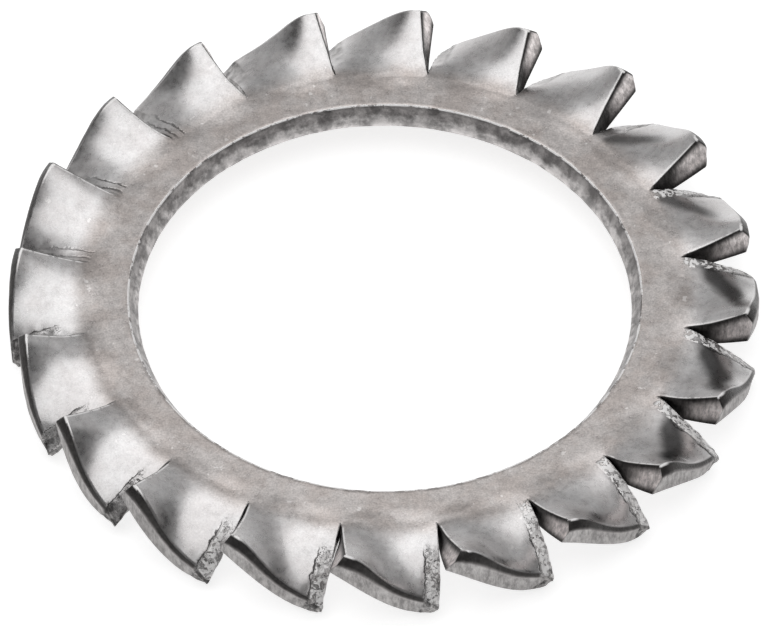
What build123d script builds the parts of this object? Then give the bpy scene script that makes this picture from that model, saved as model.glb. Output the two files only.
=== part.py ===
from build123d import *
import math
import os

# External-tooth serrated lock washer of spring steel sheet for an M24 thread.
# One blanked sheet: a flat ring whose outer part is sheared into teeth.  Each tooth is pressed
# askew about its own radial mid-line, so that one corner stands up above the ring and the other
# hangs below it.
# Frame: +Z up along the bore, origin on the bore's axis at the ring's lower face.
# Azimuth grows anticlockwise seen from above.  A tooth's clockwise side is its raised side.

# ---- ring ----
bore_diameter = 25.0            # at the bore's narrowest, clears an M24 thread
sheet_thickness = 1.10
bore_land = 0.20                # length of the narrowest part, at the ring's lower face
bore_flare = 0.455              # growth of the bore's radius from the land up to the upper face
root_radius = 15.20             # where the shear cuts between the teeth end

# ---- teeth ----
tooth_count = 20
ridge_radius = 18.82            # rim's radius on the ridge of its edge face, at the raised corner
middle_swell = 0.24             # ridge further out at the middle of a tooth
lowered_swell = 0.17            # ridge further out at the lowered corner
raised_lift = 1.83              # upper face above the ring's, at the raised outer corner
lowered_drop = 2.22             # upper face below the ring's, at the lowered outer corner
lift_growth = 1.3               # power by which the lift grows from the root to the rim
drop_growth = 1.4               # the same for the drop

# ---- sheet measured upright at the rim: steep in the middle, coined thin at the lowered side ----
raised_thickness = 1.36
middle_thickness = 1.42
lowered_thickness = 0.90

# ---- shear walls: how far each edge turns away from the cut's radial line, in degrees ----
raised_upper_opening = 11.1
raised_lower_opening = 0.2
lowered_upper_opening = 6.3
lowered_lower_opening = 10.7
shear_gap = 0.04                # width of a cut at its root

# ---- coined strip along the lowered shear edge ----
strip_width = 0.72
strip_share = 0.22              # part of the tooth's whole slope that falls within the strip

# ---- bow of the upper face between the raised wall and the strip, as shares of each ----
middle_place = 0.47
middle_fall = 0.54              # over half: the face is steeper beside the raised edge

# ---- rim edge face: an upper sheared band, a ridge, and a lower torn band that leans in ----
# each at the raised corner, the middle and the lowered corner of a tooth
ridge_depths = (0.70, 0.31, 0.15)       # ridge below the upper edge
upper_insets = (0.50, 0.25, 0.03)       # upper edge inside the ridge
lower_insets = (0.18, 0.05, 0.50)       # lower edge inside the ridge

# ---- construction ----
section_count = 5               # cross-sections from a tooth's root to past its rim
overrun = 0.5                   # length of tooth beyond the ridge before it is trimmed
trim_reach = 4.0                # size of the trimming solid outside the rim

pitch = 360 / tooth_count
half_pitch = pitch / 2
root_x = root_radius * math.cos(math.radians(half_pitch))
root_half_width = root_radius * math.sin(math.radians(half_pitch))
tooth_reach = ridge_radius - root_x


def spread(run, heading):
    """Sideways distance covered along a run by an edge that turns off by a heading."""
    return run * math.tan(math.radians(heading))


def side_positions(x):
    """Tangential places of a tooth's four long edges: raised and lowered, upper and lower."""
    run = x - root_x
    inner = root_half_width - shear_gap / 2
    raised_top = spread(run, raised_upper_opening - half_pitch) - inner
    raised_bottom = spread(run, raised_lower_opening - half_pitch) - inner
    lowered_top = inner + spread(run, half_pitch - lowered_upper_opening)
    lowered_bottom = inner + spread(run, half_pitch - lowered_lower_opening)
    return raised_top, raised_bottom, lowered_top, lowered_bottom


def side_heights(x):
    """Heights of the upper face at the raised wall, the strip's inner edge and the lowered wall."""
    reach = (x - root_x) / tooth_reach
    raised_z = sheet_thickness + raised_lift * reach ** lift_growth
    lowered_z = sheet_thickness - lowered_drop * reach ** drop_growth
    strip_z = lowered_z + strip_share * (raised_z - lowered_z)
    return raised_z, strip_z, lowered_z


def upright_thickness(x, at_rim):
    """Sheet measured upright, going from the ring's own at the root to a value at the rim."""
    reach = (x - root_x) / tooth_reach
    return sheet_thickness + (at_rim - sheet_thickness) * reach


def upper_points(x):
    """Points across the upper face, from the raised wall to the strip's inner edge."""
    raised_y, _, lowered_y, _ = side_positions(x)
    raised_z, strip_z, _ = side_heights(x)
    strip_y = lowered_y - strip_width
    places = (0, middle_place, 1)
    falls = (0, middle_fall, 1)
    return [Vector(x, raised_y + place * (strip_y - raised_y), raised_z + fall * (strip_z - raised_z))
            for place, fall in zip(places, falls)]


def lower_points(x):
    """Points across the lower face, from the lowered wall to the raised wall."""
    _, raised_y, _, lowered_y = side_positions(x)
    raised_z, _, lowered_z = side_heights(x)
    middle_y = (raised_y + lowered_y) / 2
    middle_top = upper_points(x)[1].Z
    return [Vector(x, lowered_y, lowered_z - upright_thickness(x, lowered_thickness)),
            Vector(x, middle_y, middle_top - upright_thickness(x, middle_thickness)),
            Vector(x, raised_y, raised_z - upright_thickness(x, raised_thickness))]


def tooth_section(x):
    """Upright cross-section of a tooth at a distance x from the washer's axis."""
    upper = upper_points(x)
    lower = lower_points(x)
    _, _, lowered_y, _ = side_positions(x)
    _, _, lowered_z = side_heights(x)
    lowered_top = Vector(x, lowered_y, lowered_z)
    return Wire([Spline(*upper), Line(upper[-1], lowered_top), Line(lowered_top, lower[0]),
                 Spline(*lower), Line(lower[-1], upper[0])])


def tooth_blank():
    """Loft from the flat root to beyond the rim."""
    step = (tooth_reach + overrun) / (section_count - 1)
    return Solid.make_loft([tooth_section(root_x + step * i) for i in range(section_count)])


def trim_section(azimuth, ridge_r, top_z, bottom_z, ridge_depth, upper_inset, lower_inset):
    """Outline, in an upright plane through the axis, of what lies outside the rim's edge face."""
    ridge_z = top_z - ridge_depth
    upper_slope = upper_inset / ridge_depth
    lower_slope = lower_inset / (ridge_z - bottom_z)
    points = [(ridge_r - upper_slope * trim_reach, ridge_z + trim_reach), (ridge_r, ridge_z),
              (ridge_r - lower_slope * trim_reach, ridge_z - trim_reach),
              (ridge_r + trim_reach, ridge_z - trim_reach),
              (ridge_r + trim_reach, ridge_z + trim_reach)]
    corners = [Vector(r, 0, z).rotate(Axis.Z, azimuth) for r, z in points]
    return Wire.make_polygon(corners, close=True)


def rim_trim():
    """Solid that cuts a tooth's outer end to the rim's edge face."""
    upper = upper_points(ridge_radius)
    lower = lower_points(ridge_radius)
    _, _, lowered_z = side_heights(ridge_radius)
    tops = (upper[0].Z, lower[1].Z + middle_thickness, lowered_z)
    bottoms = (lower[2].Z, lower[1].Z, lower[0].Z)
    ridges = (ridge_radius, ridge_radius + middle_swell, ridge_radius + lowered_swell)
    sections = []
    for i in range(3):
        sections.append(trim_section((i - 1) * half_pitch, ridges[i], tops[i], bottoms[i],
                                     ridge_depths[i], upper_insets[i], lower_insets[i]))
    return Solid.make_loft(sections)


def ring():
    """Flat ring inside the teeth: its outline has one side for each tooth."""
    outline = Polygon(*[(root_radius * math.cos(math.radians(pitch * i + half_pitch)),
                         root_radius * math.sin(math.radians(pitch * i + half_pitch)))
                        for i in range(tooth_count)], align=None)
    disc = extrude(outline, amount=sheet_thickness)
    bore_radius = bore_diameter / 2
    bore_profile = Polyline((0, 0), (bore_radius, 0), (bore_radius, bore_land),
                            (bore_radius + bore_flare, sheet_thickness), (0, sheet_thickness), close=True)
    return disc - revolve(Plane.XZ * make_face(bore_profile), Axis.Z)


def washer():
    """Ring and teeth as one solid."""
    tooth = tooth_blank() - rim_trim()
    teeth = [tooth.rotate(Axis.Z, pitch * i) for i in range(tooth_count)]
    return ring().fuse(*teeth)


body = washer()
os.makedirs("parts", exist_ok=True)
export_step(body, "parts/lock_washer.step")
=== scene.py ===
import math

import bmesh
import bpy
import numpy as np
from mathutils import Matrix, Vector


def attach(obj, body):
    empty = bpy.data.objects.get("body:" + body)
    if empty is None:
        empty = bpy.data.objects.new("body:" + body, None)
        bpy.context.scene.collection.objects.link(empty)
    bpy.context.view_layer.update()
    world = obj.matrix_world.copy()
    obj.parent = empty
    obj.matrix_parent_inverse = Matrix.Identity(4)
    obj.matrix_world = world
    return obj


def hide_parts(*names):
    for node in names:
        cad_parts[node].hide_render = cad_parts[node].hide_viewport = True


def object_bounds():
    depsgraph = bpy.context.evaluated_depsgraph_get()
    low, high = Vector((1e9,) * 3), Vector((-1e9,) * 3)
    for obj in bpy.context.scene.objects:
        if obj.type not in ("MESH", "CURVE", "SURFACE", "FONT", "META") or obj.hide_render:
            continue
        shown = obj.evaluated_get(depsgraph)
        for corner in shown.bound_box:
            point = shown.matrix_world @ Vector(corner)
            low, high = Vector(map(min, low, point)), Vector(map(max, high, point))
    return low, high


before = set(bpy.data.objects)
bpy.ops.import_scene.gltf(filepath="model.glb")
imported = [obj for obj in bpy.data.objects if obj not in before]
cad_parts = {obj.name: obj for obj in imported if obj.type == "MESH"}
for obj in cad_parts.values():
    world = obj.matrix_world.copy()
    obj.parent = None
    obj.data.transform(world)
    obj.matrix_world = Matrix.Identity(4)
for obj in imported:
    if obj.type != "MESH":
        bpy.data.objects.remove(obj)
cad_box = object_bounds()

# External-tooth serrated lock washer of spring steel sheet.  Lengths are millimetres until the mesh is made.
# Azimuth grows anticlockwise seen from above; a tooth's clockwise side is its raised side.
MM = 0.001

# ---- ring ----
land_radius = 12.50
sheet = 1.10
bore_land = 0.20
bore_flare = 0.455
root_radius = 15.20
bore_edge = 0.05                # rounding of the bore's two edges
upper_turn = (0.25, 0.4)        # how far out its middle and how far in its end lie, as shares of it
lower_turn = 0.3

# ---- teeth ----
tooth_count = 20
ridge_radii = (18.82, 19.06, 18.99)     # rim's ridge at the raised corner, the middle, the lowered corner
raised_lift = 1.83
lowered_drop = 2.22
lift_growth = 1.4
drop_growth = 1.7
rim_thickness = (1.36, 1.42, 0.90)      # upright, at the raised corner, the middle, the lowered corner
raised_openings = (11.1, 0.2)           # degrees between the raised wall's upper, lower edge and the cut
lowered_openings = (6.3, 10.7)
strip_width = 0.72
strip_share = 0.22
face_places = (0.0, 0.13, 0.47, 1.0)    # run of the upper face from the raised wall to the strip
face_falls = (0.0, 0.075, 0.54, 1.0)
ridge_depths = (0.70, 0.31, 0.15)
ridge_limits = (0.08, 0.8)              # of the ridge's share of the way down
upper_insets = (0.50, 0.25, 0.03)
lower_insets = (0.18, 0.05, 0.50)

# ---- each tooth's own departure from the pattern, as pressed: anticlockwise from the tooth on +X ----
# turn (deg), lift, drop, raised opening upper and lower, lowered opening upper (deg), rim's radius,
# and the sheet at the raised corner, the middle and the lowered corner
TEETH = (
    (-0.28, -0.36, -0.53, -2.4, -1.4, 0.1, -0.11, 0.27, 0.11, 0.06),
    (0.00, -0.59, -0.10, -3.4, -0.1, 0.1, 0.00, 0.09, 0.08, 0.05),
    (0.18, -0.05, -0.20, 1.0, -2.0, -0.5, -0.05, 0.09, 0.08, -0.02),
    (0.33, -0.05, 0.00, 2.6, 1.2, -0.2, 0.06, -0.13, 0.06, -0.07),
    (0.38, 0.06, 0.02, 0.7, -1.8, -0.3, -0.13, -0.04, 0.10, -0.03),
    (0.41, -0.20, 0.01, 0.5, -0.3, -1.5, -0.06, -0.14, 0.06, -0.01),
    (-0.16, -0.15, -0.10, -1.7, 0.2, -0.8, 0.00, 0.01, 0.09, 0.03),
    (0.73, 0.00, 0.00, 1.7, 2.2, 0.4, 0.01, 0.02, 0.06, -0.05),
    (0.43, -0.13, -0.09, 1.9, 1.2, -0.1, -0.04, -0.02, 0.03, 0.00),
    (0.00, -0.05, -0.14, -0.1, 0.3, 0.4, 0.05, -0.07, 0.08, -0.03),
    (0.15, -0.12, -0.21, 1.0, 0.6, 1.7, -0.01, -0.07, 0.06, 0.05),
    (0.71, -0.03, -0.02, -0.8, 0.1, -1.2, -0.02, -0.11, 0.22, 0.06),
    (0.30, -0.16, 0.00, 0.3, 1.0, -1.3, -0.03, 0.06, 0.30, -0.20),
    (0.22, -0.07, -0.04, 0.2, -1.8, -0.8, 0.13, 0.22, 0.15, -0.16),
    (0.22, -0.12, -0.11, 0.0, 0.0, 0.2, 0.08, 0.10, -0.05, -0.03),
    (-0.10, -0.04, -0.15, 1.5, -1.8, 1.1, -0.02, -0.08, 0.09, 0.03),
    (-0.25, 0.03, -0.23, 1.6, -1.9, -0.6, -0.03, -0.07, 0.09, 0.05),
    (-0.16, -0.08, -0.18, 0.0, 2.1, 0.6, -0.05, 0.04, -0.03, 0.06),
    (-0.57, -0.18, -0.32, 2.1, 0.6, 1.1, 0.05, 0.23, -0.22, -0.02),
    (-0.37, -0.33, -0.17, -3.0, -2.6, -0.6, -0.01, 0.20, -0.27, 0.06),
)

# share of the face's fall by its middle, for the teeth that are less bowed than face_falls
MIDDLE_FALLS = {1: 0.49, 2: 0.47, 3: 0.46, 4: 0.45, 5: 0.44, 8: 0.51, 9: 0.49, 10: 0.50}

# powers by which the lift and the drop grow, for the teeth bent more sharply at the root
GROWTHS = {1: (1.3, 1.6), 2: (1.2, 1.5), 3: (1.12, 1.35), 4: (1.1, 1.3), 5: (1.1, 1.3), 6: (1.12, 1.4),
           7: (1.25, 1.6), 9: (1.15, 1.7), 10: (1.12, 1.7), 11: (1.12, 1.7), 12: (1.15, 1.7), 13: (1.2, 1.7)}

# how far torn metal stands into the cut beside the lowered edge, half way out
FLANGES = {13: 0.12, 15: 0.12, 16: 0.12, 17: 0.10}

# ---- mesh ----
face_columns = 24               # across a tooth's upper face, up to the strip
strip_columns = 12
tooth_rows = 31                 # from the root to the rim
wall_rows = 10                  # down the edge faces
ring_rows = 12                  # from the root to the bore
bore_rows = 7
edge_round = 0.06               # rounding of the teeth's edges
edge_steps = 2                  # mesh points within a rounded edge
row_crowding = 0.35             # rows lie closer together towards the rim
turn_reach = 1.6                # a tooth's own turn grows to its full value over this length
warp_reach = 0.5                # share of a tooth's length over which the wall rows settle on the ridge
rounding_growth = 6             # the rounding reaches its full size at 1/6 of a tooth's length
rim_search = (1.0, 1.2, 34)     # beyond the root, beyond the ridge (mm), and number of halvings
merge_grid = 2e4                # points per mm that are told apart when coincident ones are merged
merge_shift = 0.137             # keeps the points off the grid's rounding limits

# ---- the twist begins softly, a little inside the ends of the cuts ----
bend_height = 0.048
bend_reach = 0.85               # inside the root
outer_bend_reach = 1.36         # outside it

# ---- unevenness of the surfaces: height and size in mm, and the noise's seed ----
sheet_wave = 0.010, 2.0, 11
strip_tear = 0.055, 0.34, 23
edge_tear = 0.055, 0.26, 31     # the lowered wall
rim_tear = 0.040, 0.24, 41
wall_tear = 0.012, 0.30, 47
bore_tear = 0.020, 0.40, 53
groove_depth = 0.05             # along the strip's inner edge
groove_width = 0.10             # as a share of the strip's, as is the wander
groove_wander = 0.12, 0.6, 3
groove_fading = 0.4, 0.4, 5     # as a share of the depth
streak_squeeze = (1, 1, 0.4)    # the rim's tears run up and down

pitch = math.radians(360 / tooth_count)
half = pitch / 2
root_x = root_radius * math.cos(half)
root_half = root_radius * math.sin(half)
tooth_reach = ridge_radii[0] - root_x
strip_u = face_columns / (face_columns + strip_columns)     # u of the strip's inner edge
ring_width = root_x - land_radius - bore_flare
strip_share_of_root = strip_width / (2 * root_half)


def natural_spline(xs, ys):
    """Evaluator of the natural cubic spline through a few points."""
    xs, ys = np.asarray(xs, float), np.asarray(ys, float)
    n, h = len(xs), np.diff(xs)
    a = np.zeros((n, n)); b = np.zeros(n)
    a[0, 0] = a[-1, -1] = 1
    for i in range(1, n - 1):
        a[i, i - 1:i + 2] = h[i - 1], 2 * (h[i - 1] + h[i]), h[i]
        b[i] = 6 * ((ys[i + 1] - ys[i]) / h[i] - (ys[i] - ys[i - 1]) / h[i - 1])
    m = np.linalg.solve(a, b)

    def value(x):
        i = np.clip(np.searchsorted(xs, x) - 1, 0, n - 2)
        l, r = xs[i + 1] - x, x - xs[i]
        return (m[i] * l ** 3 + m[i + 1] * r ** 3) / (6 * h[i]) + \
            (ys[i] / h[i] - m[i] * h[i] / 6) * l + (ys[i + 1] / h[i] - m[i + 1] * h[i] / 6) * r
    return value


def through(values, s):
    """Parabola through three values at s = 0, 1/2 and 1."""
    a, b, c = values
    return a + (4 * b - 3 * a - c) * s + (2 * a + 2 * c - 4 * b) * s ** 2


class Tooth:
    """One tooth as a map from (u, x, w) to space: u from the raised wall to the lowered wall,
    x along the tooth, w from the upper to the lower face."""

    def __init__(self, index):
        (self.turn, lift, drop, r_up, r_low, l_up, rim, t_r, t_m, t_l) = TEETH[index]
        self.lift = raised_lift + lift
        self.drop = lowered_drop + drop
        self.raised = (raised_openings[0] + r_up, raised_openings[1] + r_low)
        self.lowered = (lowered_openings[0] + l_up, lowered_openings[1])
        self.radii = tuple(r + rim for r in ridge_radii)
        self.sheet = (rim_thickness[0] + t_r, rim_thickness[1] + t_m, rim_thickness[2] + t_l)
        self.azimuth = pitch * index
        self.flange = FLANGES.get(index, 0.0)
        self.lift_growth, self.drop_growth = GROWTHS.get(index, (lift_growth, drop_growth))
        self.middle_fall = MIDDLE_FALLS.get(index, face_falls[2])
        self.face_fall = natural_spline(face_places, (*face_falls[:2], self.middle_fall, face_falls[3]))

    def sides(self, x):
        """Tangential places of the raised and the lowered edges, upper and lower each."""
        run = x - root_x
        tan = lambda deg: np.tan(np.radians(deg))
        h = math.degrees(half)
        q = np.clip(run / tooth_reach, 0, 1)
        return (run * tan(self.raised[0] - h) - root_half, run * tan(self.raised[1] - h) - root_half,
                root_half + run * tan(h - self.lowered[0]) + 4 * self.flange * q * (1 - q),
                root_half + run * tan(h - self.lowered[1]))

    def heights(self, x):
        """Heights of the upper face at the raised wall, the strip's inner edge and the lowered wall."""
        q = np.clip((x - root_x) / tooth_reach, 0, None)
        z_r = sheet + self.lift * q ** self.lift_growth
        z_l = sheet - self.drop * q ** self.drop_growth
        return z_r, z_l + strip_share * (z_r - z_l), z_l

    def upper(self, u, x):
        """Tangential place and height of the upper face, and its share of the way across."""
        top_r, _, top_l, _ = self.sides(x)
        z_r, strip_z, z_l = self.heights(x)
        strip_y = top_l - strip_width
        p = np.clip(u / strip_u, 0, 1)
        s = np.clip((u - strip_u) / (1 - strip_u), 0, 1)
        y = top_r + p * (strip_y - top_r) + s * strip_width
        z = z_r + self.face_fall(p) * (strip_z - z_r) + s * (z_l - strip_z)
        return y, z, (y - top_r) / (top_l - top_r)

    def lower(self, share, x):
        """Tangential place and height of the lower face."""
        q = np.clip((x - root_x) / tooth_reach, 0, None)
        _, low_r, _, low_l = self.sides(x)
        z_r, strip_z, z_l = self.heights(x)
        z_m = z_r + self.middle_fall * (strip_z - z_r)
        t_r, t_m, t_l = (sheet + (t - sheet) * q for t in self.sheet)
        z = natural3((z_r - t_r, z_m - t_m, z_l - t_l), share)
        return low_r + share * (low_l - low_r), z

    def place(self, u, x, w):
        """Tangential place and height of a point within the tooth."""
        y, z, share = self.upper(u, x)
        yl, zl = self.lower(share, x)
        return y + w * (yl - y), z + w * (zl - z)

    def rim(self, s, w):
        """Radius of the rim's edge face, s across the tooth and w down it."""
        ridge = through(self.radii, s)
        wr = self.ridge_w(s)
        up = through(upper_insets, s) * np.clip(1 - w / wr, 0, None)
        low = through(lower_insets, s) * np.clip((w - wr) / (1 - wr), 0, None)
        return ridge - up - low

    def ridge_w(self, s):
        """w of the rim's ridge."""
        t = [d / t for d, t in zip(ridge_depths, self.sheet)]
        return np.clip(through(t, s), *ridge_limits)

    def ends(self, u, w):
        """x where the line (u, w) meets the rim's edge face."""
        inner, outer, halvings = rim_search
        lo = np.full(np.broadcast(u, w).shape, root_x + inner)
        hi = np.full_like(lo, ridge_radii[1] + outer)
        for _ in range(halvings):
            x = (lo + hi) / 2
            y, _ = self.place(u, x, w)
            s = np.clip(0.5 + np.arctan2(y, x) / pitch, -0.1, 1.1)
            outside = np.hypot(x, y) > self.rim(s, w)
            hi = np.where(outside, x, hi)
            lo = np.where(outside, lo, x)
        return (lo + hi) / 2

    def point(self, u, v, w):
        """Space point for v from the root (0) to the rim (1)."""
        x = root_x + v * (self.ends(u, w) - root_x)
        y, z = self.place(u, x, w)
        run = np.clip((x - root_x) / turn_reach, 0, 1)
        a = self.azimuth + math.radians(self.turn) * run * run * (3 - 2 * run)
        return np.stack([x * np.cos(a) - y * np.sin(a), x * np.sin(a) + y * np.cos(a), z], -1)


def natural3(values, s):
    """Natural cubic spline through three values at s = 0, 1/2 and 1."""
    a, b, c = values
    m = 6 * (a + c - 2 * b)
    left = np.where(s < 0.5, s, 1 - s)
    end = np.where(s < 0.5, a, c)
    return m * left ** 3 / 3 + (b - m / 24) * 2 * left + end * (1 - 2 * left)


def eased(n, ends=0.0):
    """n+1 places from 0 to 1, closer together near 1."""
    t = np.linspace(0, 1, n + 1)
    return t * (1 + ends) - ends * t ** 2


def columns_y(columns):
    """Tangential places, from the raised side, of the columns where the tooth meets the ring."""
    p = np.clip(columns / strip_u, 0, 1)
    s = np.clip((columns - strip_u) / (1 - strip_u), 0, 1)
    return p * (2 * root_half - strip_width) + s * strip_width


def inset_u(u, d):
    """u drawn in by d mm from both walls, with the strip's inner edge kept."""
    a = d * strip_u / (2 * root_half - strip_width)
    b = d * (1 - strip_u) / strip_width
    u = np.asarray(u, float)
    return np.where(u < strip_u, a + u * (strip_u - a) / strip_u,
                    strip_u + (u - strip_u) * (1 - b - strip_u) / (1 - strip_u))


def inset_w(w, d):
    """w drawn in by d mm from both faces."""
    d = d / sheet
    return d + np.asarray(w, float) * (1 - 2 * d)


def wall_w(tooth, s, t, v):
    """w of the wall row t: even at the root, and row 1/2 on the ridge at the rim."""
    wr = tooth.ridge_w(s)
    warped = np.where(t < 0.5, 2 * t * wr, wr + (2 * t - 1) * (1 - wr))
    f = np.clip(v / warp_reach, 0, 1)
    return t + (warped - t) * f * f * (3 - 2 * f)


def section_loop(tooth, columns, rows, v, shrink):
    """(u, v, w, band) round a tooth's cross-section; shrink 0..1 draws it in where the rim is rounded."""
    outer = shrink * edge_round
    inner = outer + (1 - shrink) * edge_round * min(1.0, v * rounding_growth)
    depth = inner - outer
    turns = np.array([math.pi / 2 * (i + 1) / (edge_steps + 1) for i in range(edge_steps)])
    away, towards = inner - depth * np.sin(turns), inner - depth * np.cos(turns)
    across = inset_u(columns, inner)
    left = [float(inset_u(0, d)) for d in away], [float(inset_u(1, d)) for d in away]
    faces_w = np.array([float(inset_w(0, d)) for d in towards])
    top_w, side0, side1 = float(inset_w(0, outer)), float(inset_u(0, outer)), float(inset_u(1, outer))
    low_rows = inset_w(wall_w(tooth, 1.0, rows, v), inner)
    high_rows = inset_w(wall_w(tooth, 0.0, rows, v), inner)
    u = np.concatenate([across, left[1], np.full(len(rows), side1), left[1][::-1], across[::-1],
                        left[0], np.full(len(rows), side0), left[0][::-1]])
    w = np.concatenate([np.full(len(columns), top_w), faces_w, low_rows, 1 - faces_w[::-1],
                        np.full(len(columns), 1 - top_w), 1 - faces_w, high_rows[::-1], faces_w[::-1]])
    band = np.concatenate([np.zeros(len(columns)), np.zeros(edge_steps), rows, np.ones(edge_steps),
                           np.ones(len(columns)), np.ones(edge_steps), rows[::-1], np.zeros(edge_steps)])
    return np.stack([u, np.full_like(u, v), w, band], -1)


def grid_faces(n, m, base, closed=False):
    """Quads of a grid of n rows and m columns."""
    i, j = np.meshgrid(np.arange(n - 1), np.arange(m if closed else m - 1), indexing="ij")
    i, j = i.ravel(), j.ravel()
    j2 = (j + 1) % m
    here, above = base + i * m, base + (i + 1) * m
    return np.stack([here + j, above + j, above + j2, here + j2], -1)


def ring_profile(outer):
    """(r, z, v, w) rows from the root inward over the upper face, down the bore and back below."""
    top_r = land_radius + bore_flare
    rows = [(outer + t * (top_r + bore_edge - outer), sheet, -t, 0.0)
            for t in np.linspace(0, 1, ring_rows + 1)]
    middle, end = upper_turn
    start = (top_r - end * bore_edge, sheet - bore_edge)
    bore = [(top_r + middle * bore_edge, sheet - middle * bore_edge)]
    for t in np.linspace(0, 1, bore_rows):
        bore.append((start[0] + t * (land_radius - start[0]), start[1] + t * (bore_land - start[1])))
    bore += [(land_radius, bore_edge), (land_radius + lower_turn * bore_edge, lower_turn * bore_edge)]
    rows += [(np.full_like(outer, r), z, -1.0, (i + 1) / (len(bore) + 1)) for i, (r, z) in enumerate(bore)]
    inner = land_radius + bore_edge
    rows += [(outer + t * (inner - outer), 0.0, -t, 1.0) for t in np.linspace(1, 0, ring_rows // 2 + 1)]
    return rows


def washer_points():
    """Points, quads and (u, v, w, band, tooth) marks of the whole washer, coincident points still apart."""
    points, faces, marks = [], [], []
    columns = np.concatenate([np.linspace(0, strip_u, face_columns + 1),
                              np.linspace(strip_u, 1, strip_columns + 1)[1:]])
    rows = np.linspace(0, 1, wall_rows + 1)
    stations = [(v, 0.0) for v in eased(tooth_rows, row_crowding)[:-1]]
    for i in range(edge_steps + 2):
        turn = math.pi / 2 * i / (edge_steps + 1)
        stations.append((1 - edge_round / tooth_reach * (1 - math.sin(turn)), 1 - math.cos(turn)))
    base = 0

    def add(grid, mark, **how):
        nonlocal base
        n, m = grid.shape[:2]
        points.append(grid.reshape(-1, 3))
        marks.append(mark.reshape(-1, 5))
        faces.append(grid_faces(n, m, base, **how))
        base += n * m

    for k in range(tooth_count):
        tooth = Tooth(k)
        azimuths = np.arctan2(columns_y(columns) - root_half, root_x)
        profile = ring_profile(root_x / np.cos(azimuths))
        turned = azimuths + tooth.azimuth
        ring = np.array([np.stack([r * np.cos(turned), r * np.sin(turned), np.full_like(r, z)], -1)
                         for r, z, _, _ in profile])
        mark = np.array([np.stack([columns, np.full_like(columns, v), np.full_like(columns, w),
                                   np.full_like(columns, w), np.full_like(columns, k)], -1)
                         for _, _, v, w in profile])
        add(ring, mark)
        loops = np.array([section_loop(tooth, columns, rows, v, shrink) for v, shrink in stations])
        grid = tooth.point(loops[..., 0], loops[..., 1], loops[..., 2])
        add(grid, np.concatenate([loops, np.full(loops.shape[:2] + (1,), k)], -1), closed=True)
        u, t = np.meshgrid(columns, rows)
        w = inset_w(wall_w(tooth, u, t, 1.0), edge_round)
        u = inset_u(u, edge_round)
        one = np.ones_like(u)
        add(tooth.point(u, one, w), np.stack([u, one, w, t, one * k], -1))
    return np.concatenate(points), np.concatenate(faces), np.concatenate(marks)


def merged(points, faces, marks):
    """Coincident points made one, and faces that lose corners by it cleaned or dropped."""
    keys = np.round(points * merge_grid + merge_shift).astype(np.int64)
    _, first, inverse = np.unique(keys, axis=0, return_index=True, return_inverse=True)
    inverse = inverse.ravel()
    out = []
    for face in inverse[faces]:
        kept = [a for a, b in zip(face, np.roll(face, 1)) if a != b]
        if len(set(kept)) == len(kept) >= 3:
            out.append(kept)
    return points[first], out, marks[first]


def lattice_noise(points, size, seed):
    """Smooth noise of -1..1 with features of one size, the same on every run."""
    cell = np.floor(points / size).astype(np.int64)
    f = points / size - cell
    f = f * f * (3 - 2 * f)
    total = np.zeros(len(points))
    for corner in np.ndindex(2, 2, 2):
        x, y, z = (cell + corner).T
        h = x * 374761393 + y * 668265263 + z * 2147483629 + seed * 1274126177
        h = ((h ^ (h >> 13)) * 1274126177) & 0xffffffff
        h = (h ^ (h >> 16)) & 0xffff
        total += np.prod(np.where(corner, f, 1 - f), axis=1) * (h / 32767.5 - 1)
    return total


def smooth_noise(points, wave):
    """Noise times its height."""
    height, size, seed = wave
    return height * lattice_noise(points, size, seed)


def rough_noise(points, tear):
    """The same, with a third of it at half the size."""
    height, size, seed = tear
    coarse, fine = lattice_noise(points, size, seed), lattice_noise(points, size / 2, seed + 7)
    return height * (0.65 * coarse + 0.35 * fine)


def step(x, start, end):
    """Smooth step from 0 to 1."""
    t = np.clip((x - start) / (end - start), 0, 1)
    return t * t * (3 - 2 * t)


def early_bend(marks):
    """How far the sheet already follows a tooth's twist about its root, in mm."""
    u, v = marks[:, 0], marks[:, 1]
    share = np.where(u < strip_u, u / strip_u * (1 - strip_share_of_root),
                     1 - (1 - u) / (1 - strip_u) * strip_share_of_root)
    inside = step(1 + v * ring_width / bend_reach, 0.0, 1.0)
    outside = step(1 - v * tooth_reach / outer_bend_reach, 0.0, 1.0)
    return bend_height * np.sin(2 * math.pi * share) * np.where(v < 0, inside, outside)


def unevenness(points, marks):
    """Height in mm that the pressing, coining and tearing leave on each point of the surface."""
    u, v, w, band, _ = marks.T
    # 1 on the named part of the surface, 0 elsewhere
    side = step(w, 0.0, 0.1) * step(1 - w, 0.0, 0.1)
    face = 1 - side
    rim = step(v, 0.95, 0.99) * side
    bore = step(-v, 0.9, 1.0) * side
    raised = step(0.02 - u, 0.0, 0.02) * step(v, 0.0, 0.1) * side
    across_strip = (u - strip_u) / (1 - strip_u)
    strip = step(across_strip, 0.0, 0.25) * step(v, 0.10, 0.60) * face
    lowered = step(u, 0.97, 1.0) * step(v, 0.0, 0.15)
    off_groove = (across_strip + smooth_noise(points, groove_wander)) / groove_width
    groove = np.exp(-off_groove ** 2) * step(v, 0.35, 0.7) * face
    groove = groove * (1 - groove_fading[0] + smooth_noise(points, groove_fading))
    streaks = points * streak_squeeze
    return (smooth_noise(points, sheet_wave)
            + strip * rough_noise(points, strip_tear)
            + lowered * rough_noise(points, edge_tear)
            - groove * groove_depth
            + rim * step(band, 0.45, 0.6) * rough_noise(streaks, rim_tear)
            + (rim + raised) * rough_noise(streaks, wall_tear)
            + bore * rough_noise(points, bore_tear))


MARK_NAMES = "across", "outward", "down", "band", "tooth"       # of u, v, w, band and tooth on the mesh


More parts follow.
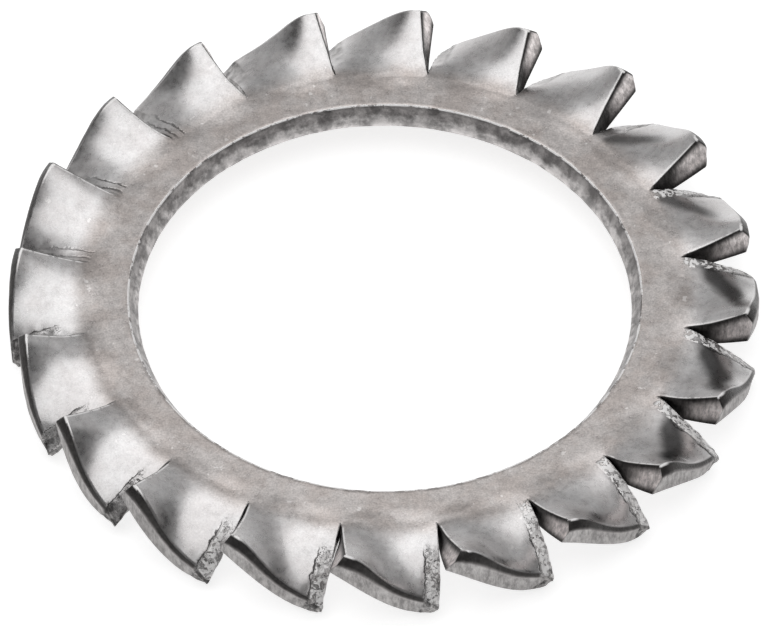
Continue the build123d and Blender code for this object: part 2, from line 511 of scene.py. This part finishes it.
def make_piece():
    """The whole washer as one closed mesh, with its marks as attributes for the material."""
    points, faces, marks = merged(*washer_points())
    mesh = bpy.data.meshes.new("washer")
    mesh.from_pydata((points * MM).tolist(), [], [[int(i) for i in f] for f in faces])
    shape = bmesh.new()
    shape.from_mesh(mesh)
    bmesh.ops.recalc_face_normals(shape, faces=shape.faces)
    shape.normal_update()
    normals = np.array([v.normal for v in shape.verts])
    shape.to_mesh(mesh)
    shape.free()
    points = points + normals * unevenness(points, marks)[:, None]
    points[:, 2] += early_bend(marks)
    low, high = cad_box[0].z / MM, cad_box[1].z / MM
    points[:, 2] = np.clip(points[:, 2], low, high)
    mesh.vertices.foreach_set("co", (points * MM).ravel())
    mesh.shade_smooth()
    for name, column in zip(MARK_NAMES, marks.T):
        layer = mesh.attributes.new(name, "FLOAT", "POINT")
        layer.data.foreach_set("value", column.astype(np.float32))
    piece = bpy.data.objects.new("washer", mesh)
    bpy.context.scene.collection.objects.link(piece)
    return piece


piece = make_piece()
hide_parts("lock_washer")
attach(piece, "root")


class Graph:
    """Short hand for building a material's or the world's nodes."""

    def __init__(self, owner):
        owner.use_nodes = True
        self.nodes, self.links = owner.node_tree.nodes, owner.node_tree.links

    def put(self, socket, value):
        if isinstance(value, bpy.types.NodeSocket):
            self.links.new(value, socket)
        else:
            socket.default_value = value

    def node(self, kind, out=0, **how):
        node = self.nodes.new("ShaderNode" + kind)
        inputs = {k: v for k, v in how.items() if k[0] == "i" and k[1:].isdigit()}
        for key, value in how.items():
            if key not in inputs:
                setattr(node, key, value)
        for key, value in inputs.items():
            self.put(node.inputs[int(key[1:])], value)
        return node.outputs[out] if node.outputs else node

    def math(self, operation, a, b=0.0, c=0.0):
        return self.node("Math", operation=operation, i0=a, i1=b, i2=c)

    def times(self, *values):
        out = values[0]
        for value in values[1:]:
            out = self.math("MULTIPLY", out, value)
        return out

    def add(self, a, b):
        return self.math("ADD", a, b)

    def most(self, *values):
        """The highest of the values."""
        out = values[0]
        for value in values[1:]:
            out = self.math("MAXIMUM", out, value)
        return out

    def rest(self, x):
        """What x leaves of 1."""
        return self.math("SUBTRACT", 1.0, x)

    def apart(self, a, b):
        """Distance between two values."""
        return self.math("ABSOLUTE", self.math("SUBTRACT", a, b))

    def centred(self, noise, amount):
        """Noise of 0..1 as a departure to both sides of zero."""
        return self.times(self.add(noise, -0.5), amount)

    def ramp(self, x, start, end, low=0.0, high=1.0):
        """Smooth step from low to high as x goes from start to end."""
        return self.node("MapRange", interpolation_type="SMOOTHSTEP",
                         i0=x, i1=start, i2=end, i3=low, i4=high)

    def fall(self, x, start, end):
        """Smooth step from 1 down to 0."""
        return self.ramp(x, start, end, 1.0, 0.0)

    def window(self, x, start, full, fading, end):
        """1 between full and fading, 0 before start and after end."""
        return self.times(self.ramp(x, start, full), self.fall(x, fading, end))

    def mix(self, factor, a, b):
        """Colour a where the factor is 0 and b where it is 1; a plain colour is given as (r, g, b)."""
        node = self.nodes.new("ShaderNodeMix")
        node.data_type = "RGBA"
        self.put(node.inputs[0], factor)
        for slot, colour in ((6, a), (7, b)):
            self.put(node.inputs[slot], (*colour, 1) if isinstance(colour, tuple) else colour)
        return node.outputs[2]

    def blend(self, factor, a, b):
        """Number a where the factor is 0 and b where it is 1."""
        node = self.nodes.new("ShaderNodeMix")
        self.put(node.inputs[0], factor)
        self.put(node.inputs[2], a)
        self.put(node.inputs[3], b)
        return node.outputs[0]

    def noise(self, place, size, detail=3.0, roughness=0.55, distortion=0.0):
        """Noise of 0..1 about 0.5, with features about size mm across."""
        node = self.nodes.new("ShaderNodeTexNoise")
        self.put(node.inputs["Vector"], place)
        node.inputs["Scale"].default_value = 1 / size
        node.inputs["Detail"].default_value = detail
        node.inputs["Roughness"].default_value = roughness
        node.inputs["Distortion"].default_value = distortion
        return node.outputs["Fac"]

    def attribute(self, name):
        return self.node("Attribute", out=2, attribute_name=name)

    def scaled(self, colour, factor):
        """Colour made brighter or darker."""
        return self.node("VectorMath", operation="SCALE", i0=colour, i3=factor)


# ---- steel: colours (linear) ----
SHEET = (0.415, 0.378, 0.361), (0.465, 0.438, 0.427)            # warm and cool patches of the ring
# the teeth's colours are brighter than the ring's, partly as a painted highlight
TOOTH = (0.560, 0.542, 0.540), (0.600, 0.590, 0.590)            # the same on the pressed teeth
FLECK = (0.78, 0.76, 0.75)
# dark rim and bore bands: partly real burnish, partly painted shade against the bright floor they reflect
RIM_SHEARED = (0.060, 0.057, 0.056), (0.34, 0.323, 0.319)       # from the upper edge to the ridge
RIM_TORN = (0.40, 0.385, 0.38), (0.47, 0.455, 0.45)
# raised walls: the dark colour is painted shade in the slit towards the root, the pale one a painted
# highlight
RAISED_WALL = (0.055, 0.052, 0.051), (0.76, 0.71, 0.70)         # towards the root and in the outer half
BORE = (0.28, 0.266, 0.263), (0.54, 0.52, 0.515)                # upper and lower band
STRIP = (0.24, 0.23, 0.225), (0.54, 0.525, 0.52)
# painted highlight on torn metal, edges and slivers; the flakes and chips also have real relief
PAINTED_HIGHLIGHT = (0.95, 0.935, 0.93)                                    # torn metal that catches the light

# ---- steel: roughness ----
sheet_rough, tooth_rough, strip_rough, sheared_rough, torn_rough = 0.31, 0.29, 0.42, 0.36, 0.55
rough_spread = 0.22

# ---- steel: relief too fine for the mesh, in mm ----
grain_relief, spot_relief, torn_relief, flake_relief, crack_relief = 0.003, 0.008, 0.045, 0.06, 0.05


class Surface:
    """Masks (1 on the named part, 0 elsewhere) and noises over the washer."""

    def __init__(self, g):
        self.place = place = g.node("VectorMath", operation="SCALE", i0=g.node("TexCoord", out=3), i3=1 / MM)
        across, outward, down, band, number = (g.attribute(name) for name in MARK_NAMES)
        self.across, self.outward, self.down, self.band, self.number = across, outward, down, band, number

        self.tooth = g.ramp(outward, 0.0, 0.30)
        self.upper_face = g.fall(down, 0.0, 0.05)
        side = g.window(down, 0.0, 0.06, 0.94, 1.0)
        self.rim = g.times(g.ramp(outward, 0.975, 0.992), side)
        self.bore = g.times(g.ramp(outward, -0.99, -0.999), side)
        off_rim = g.rest(self.rim)
        self.raised_wall = g.times(g.fall(across, 0.004, 0.010), g.ramp(outward, 0.02, 0.12), off_rim)
        lowered_wall = g.times(g.ramp(across, 0.975, 0.985), g.ramp(outward, 0.0, 0.02), off_rim)
        self.strip = g.times(g.ramp(across, strip_u - 0.02, strip_u + 0.02), g.ramp(outward, 0.05, 0.5))
        self.lowered = g.most(g.times(self.strip, g.ramp(outward, 0.35, 0.75), 0.6), lowered_wall)
        self.cut = g.most(self.rim, self.raised_wall, self.bore)

        self.patches = g.ramp(g.noise(place, 1.6, 5.0, 0.62), 0.38, 0.62)
        self.spots = g.noise(place, 0.42, 4.0, 0.6)
        self.grain = g.noise(place, 0.09, 2.0, 0.6)
        self.wander = g.noise(place, 0.55, 4.0, 0.6)
        self.torn = g.noise(g.node("Mapping", i0=place, i3=(1.0, 1.0, 0.35)), 0.22, 5.0, 0.7)
        self.mottling = g.ramp(self.torn, 0.3, 0.7)

    def teeth(self, g, first, last):
        """1 on the teeth from first to last, anticlockwise; the count may pass through 0."""
        rise = g.ramp(self.number, first - 0.8, first - 0.2)
        fall = g.fall(self.number, last + 0.2, last + 0.8)
        return g.times(rise, fall) if first <= last else g.most(rise, fall)


def pressed_sheet(g, s):
    """Rolled sheet: warm and cool patches under a fine grain; the pressed teeth are cleaner, and brighter
    partly as a painted highlight.
    """
    colour = g.mix(s.tooth, g.mix(s.patches, *SHEET), g.mix(s.patches, *TOOTH))
    shade = g.add(g.centred(s.grain, g.blend(s.tooth, 0.95, 0.42)),
                  g.centred(s.spots, g.blend(s.tooth, 0.75, 0.60)))
    colour = g.scaled(colour, g.add(1.0, shade))
    flecks = g.times(g.ramp(g.noise(s.place, 0.45, 2.0, 0.5), 0.70, 0.735), 0.5)
    colour = g.mix(flecks, colour, FLECK)
    # a painted highlight beside every raised edge, and painted shade behind it on teeth 1 to 7 (those two
    # half as much)
    far_side = g.window(s.number, 0.6, 1.4, 6.2, 7.8)
    painted_far_shade = g.times(g.window(s.across, 0.18, 0.34, 0.60, 0.70), g.window(s.outward, 0.0, 0.10, 0.22, 0.46),
                   far_side, 0.18)
    painted_edge_highlight = g.times(g.fall(s.across, 0.10, 0.24), g.ramp(s.outward, 0.0, 0.15), 0.09)
    return g.scaled(colour, g.add(g.rest(painted_far_shade), painted_edge_highlight))


def cut_faces(g, s, colour):
    """Rim, raised walls and bore: dark where the punch ran, partly real burnish and partly painted shade,
    torn and mottled below.
    """
    edge = g.add(s.band, g.centred(g.noise(s.place, 0.5, 3.0), 0.16))
    depth = g.add(edge, g.ramp(s.across, 0.0, 0.40, -0.16, 0.0))    # dark further down at the raised corner
    # the rim's dark upper band is partly painted shade
    sheared = g.scaled(g.mix(g.ramp(depth, 0.17, 0.48), *RIM_SHEARED), g.add(0.45, g.times(s.torn, 1.1)))
    torn_band = g.scaled(g.mix(s.patches, *RIM_TORN), g.add(0.55, g.times(s.mottling, 0.6)))
    colour = g.mix(s.rim, colour, g.mix(g.ramp(edge, 0.42, 0.54), sheared, torn_band))

    # painted shade on the raised walls towards the root, and a painted highlight in their outer half
    wall_highlight = g.times(g.ramp(s.outward, 0.35, 0.75), g.window(s.down, 0.05, 0.35, 0.65, 0.95))
    wall = g.scaled(g.mix(wall_highlight, *RAISED_WALL), g.add(0.6, g.times(s.mottling, 0.8)))
    colour = g.mix(s.raised_wall, colour, wall)

    border = g.add(s.down, g.centred(g.noise(s.place, 0.7, 4.0, 0.65), 0.55))
    blotches = g.ramp(g.noise(s.place, 0.8, 5.0, 0.65), 0.35, 0.65)
    # the bore's dark upper band is partly painted shade
    bore = g.scaled(g.mix(g.ramp(border, 0.42, 0.58), *BORE), g.add(0.55, g.times(blotches, 0.85)))
    return g.mix(s.bore, colour, bore)


def strip_cracks(g, s):
    """A line at the strips' inner edge and cracks over them; on the far strips two creases at most."""
    ridge = g.apart(g.noise(s.place, 0.42, 3.0, 0.6, 1.6), 0.5)
    cracks = g.times(g.fall(ridge, 0.0, 0.030), s.strip, g.ramp(s.outward, 0.30, 0.60),
                     g.ramp(s.wander, 0.38, 0.52))
    off_line = g.apart(g.add(s.across, g.centred(s.wander, 0.10)), strip_u)
    line = g.times(g.fall(off_line, 0.0, 0.010), g.ramp(s.outward, 0.35, 0.60), s.upper_face)
    cracks = g.times(g.most(cracks, line), g.rest(s.teeth(g, 3, 9)))

    off_second = g.apart(g.add(s.across, g.centred(s.wander, 0.16)), 0.86)
    creased = g.window(s.number, 6.2, 6.8, 8.2, 9.8)                # teeth 7, 8 and half as much 9
    creases = g.times(g.most(g.fall(off_line, 0.0, 0.022), g.fall(off_second, 0.0, 0.05)),
                      g.window(s.outward, -0.06, 0.06, 0.40, 0.75), s.upper_face, creased, 0.75)
    return g.most(cracks, creases)


def coined_strip(g, s, colour, cracks):
    """Mottled strip along each lowered edge, stained towards the corner and darkest in its cracks, where
    shade is painted.
    """
    strip = g.scaled(g.mix(s.patches, *STRIP), g.add(0.55, g.times(s.mottling, 0.75)))
    colour = g.mix(s.lowered, colour, strip)
    stain = g.times(s.strip, g.ramp(s.outward, 0.72, 0.95), g.ramp(s.spots, 0.44, 0.60))
    # painted shade darkens the cracks and creases
    return g.scaled(g.scaled(colour, g.rest(g.times(stain, 0.7))), g.rest(g.times(cracks, 0.85)))


def painted_reflection_bands(g, s):
    """Painted dark reflections, as bands aslant over the teeth nearest +X: wide on three, thin on the next
    two.
    """
    off_wide = g.apart(g.add(s.across, g.times(s.outward, 0.775)), 0.93)
    wide = g.times(g.fall(off_wide, 0.06, 0.24), g.window(s.outward, 0.18, 0.38, 0.76, 0.96), s.upper_face,
                   g.fall(s.across, 0.70, 0.82), s.teeth(g, 18, 0))
    off_thin = g.apart(g.add(s.across, g.times(s.outward, 0.54)), 0.75)
    thin = g.times(g.fall(off_thin, 0.02, 0.13), g.window(s.outward, 0.02, 0.12, 0.55, 0.85), s.upper_face,
                   s.teeth(g, 1, 2), 0.8)
    return g.most(wide, thin)


def painted_highlights(g, s):
    """Masks of painted highlights on torn metal, edges and slivers: what stands out as relief, and all of
    it.
    """
    chips = g.times(g.ramp(s.across, 0.68, 0.76), g.fall(s.down, 0.05, 0.12),
                    g.window(s.outward, 0.02, 0.08, 0.62, 0.85),
                    g.ramp(g.noise(s.place, 0.22, 2.0, 0.5), 0.465, 0.51), s.teeth(g, 16, 1))
    flakes = g.times(g.ramp(s.across, 0.68, 0.74), g.fall(s.down, 0.02, 0.06), g.ramp(s.outward, 0.35, 0.55),
                     g.ramp(g.noise(s.place, 0.36, 3.0, 0.6, 0.8), 0.455, 0.485), s.teeth(g, 13, 18), 0.95)
    bore_line = g.times(g.ramp(s.outward, -0.975, -0.992), g.fall(s.down, 0.12, 0.20),
                        g.ramp(g.noise(s.place, 0.9, 4.0, 0.7), 0.42, 0.50))
    raised_line = g.times(g.window(s.across, 0.004, 0.012, 0.016, 0.026), g.ramp(s.outward, 0.05, 0.15),
                          g.fall(s.down, 0.0, 0.02), g.ramp(s.spots, 0.36, 0.50), 0.8)
    slivers = g.times(g.fall(s.across, 0.05, 0.10), g.ramp(s.outward, 0.965, 0.985),
                      g.fall(s.down, 0.04, 0.10), g.ramp(g.noise(s.place, 0.5, 2.0), 0.36, 0.46))
    relief = g.most(flakes, chips)
    return relief, g.most(bore_line, relief, raised_line, slivers)


def steel():
    material = bpy.data.materials.new("spring_steel")
    g = Graph(material)
    s = Surface(g)
    shader = g.nodes["Principled BSDF"]

    cracks = strip_cracks(g, s)
    relief, highlight_mask = painted_highlights(g, s)
    colour = coined_strip(g, s, cut_faces(g, s, pressed_sheet(g, s)), cracks)
    # painted dark reflections darken the teeth nearest +X
    colour = g.scaled(colour, g.rest(g.times(painted_reflection_bands(g, s), 0.80)))
    # painted highlights: near white and barely metallic where the masks lie
    g.links.new(g.mix(highlight_mask, colour, PAINTED_HIGHLIGHT), shader.inputs["Base Color"])
    g.links.new(g.rest(g.times(highlight_mask, 0.9)), shader.inputs["Metallic"])

    rough = g.blend(s.lowered, g.blend(s.tooth, sheet_rough, tooth_rough), strip_rough)
    rough = g.blend(s.cut, rough, g.blend(g.ramp(s.band, 0.42, 0.54), sheared_rough, torn_rough))
    g.links.new(g.add(rough, g.centred(s.spots, rough_spread)), shader.inputs["Roughness"])

    height = g.times(g.add(g.times(s.grain, grain_relief), g.times(s.spots, spot_relief)),
                     g.blend(s.tooth, 1.0, 0.45))
    height = g.add(height, g.times(s.torn, g.most(s.cut, s.lowered), torn_relief))
    height = g.add(height, g.times(relief, flake_relief))
    height = g.math("SUBTRACT", height, g.times(cracks, crack_relief))
    bump = g.nodes.new("ShaderNodeBump")
    bump.inputs["Strength"].default_value = 1.0
    bump.inputs["Distance"].default_value = MM
    g.links.new(height, bump.inputs["Height"])
    g.links.new(bump.outputs[0], shader.inputs["Normal"])
    return material


piece.data.materials.append(steel())

# ---- floor: lit white paper, kept white where the camera or a polished surface sees it ----
paper_glow = 0.72
paper_white = 0.55
paper_size = 6                  # metres
bpy.ops.mesh.primitive_plane_add(size=paper_size, location=(0, 0, cad_box[0].z))
floor = bpy.context.object
floor.name = "floor"
paper = bpy.data.materials.new("paper")
g = Graph(paper)
g.nodes.clear()
rays = g.nodes.new("ShaderNodeLightPath").outputs
seen = g.most(rays["Is Camera Ray"], rays["Is Glossy Ray"], rays["Is Transmission Ray"])
matte = g.node("BsdfDiffuse", i0=(paper_white, paper_white, paper_white, 1))
glow = g.node("Emission", i0=(1, 1, 1, 1), i1=g.times(seen, paper_glow))
g.node("OutputMaterial", i0=g.node("AddShader", i0=matte, i1=glow))
floor.data.materials.append(paper)

# ---- light: a round softbox overhead in a room with low pale walls and one high wall, behind it ----
walls = 0.72                    # brightness of the low walls, seen near the horizon
ceiling = 0.06
high_wall = 0.45
high_wall_azimuth = math.radians(85)
box_height = 0.34
box_radius = 0.262
box_place = (-0.046, 0.0, box_height)
box_brightness = 1.10
box_halo = 0.26                 # brightness of the ceiling around the softbox

world = bpy.data.worlds.new("studio")
bpy.context.scene.world = world
g = Graph(world)
g.nodes.clear()
heading = g.node("VectorMath", operation="NORMALIZE", i0=g.node("TexCoord", out=0))
rise = g.node("SeparateXYZ", out=2, i0=heading)
leftwards = g.node("VectorMath", out=1, operation="DOT_PRODUCT", i0=heading,
                   i1=(math.cos(high_wall_azimuth), math.sin(high_wall_azimuth), 0))
room = g.most(g.ramp(rise, 0.08, 0.40, walls, ceiling), g.ramp(leftwards, 0.15, 0.50, 0.0, high_wall))
room = g.add(room, g.ramp(rise, 0.50, 0.84, 0.0, box_halo))
g.node("OutputWorld", i0=g.node("Background", i0=(1, 1, 1, 1), i1=room))

light = bpy.data.lights.new("softbox", "AREA")
light.shape = "DISK"
light.size = 2 * box_radius
light.energy = box_brightness * math.pi * math.pi * box_radius ** 2
lamp = bpy.data.objects.new("softbox", light)
lamp.location = box_place
bpy.context.scene.collection.objects.link(lamp)

# ---- camera ----
camera_distance = 0.50643
camera_azimuth = math.radians(-90.71)
camera_elevation = math.radians(48.8434)
aim = Vector((0, 0, 0.000281))
focal_pixels = 10000.0
frame_width = 769
sensor_width = 36.0
off_centre = (0.48, -7.61)      # pixels that the view is turned from the aim, across and up
data = bpy.data.cameras.new("camera")
camera = bpy.data.objects.new("camera", data)
bpy.context.scene.collection.objects.link(camera)
data.sensor_width = sensor_width
data.lens = sensor_width * focal_pixels / frame_width
away = Vector((math.cos(camera_elevation) * math.cos(camera_azimuth),
               math.cos(camera_elevation) * math.sin(camera_azimuth), math.sin(camera_elevation)))
camera.location = aim + camera_distance * away
turn = away.to_track_quat("Z", "Y").to_matrix().to_4x4()
across, up = off_centre
tilt = Matrix.Rotation(up / focal_pixels, 4, "X") @ Matrix.Rotation(across / focal_pixels, 4, "Y")
camera.matrix_world = Matrix.Translation(camera.location) @ turn @ tilt
bpy.context.scene.camera = camera
bpy.context.scene.view_settings.view_transform = "Standard"
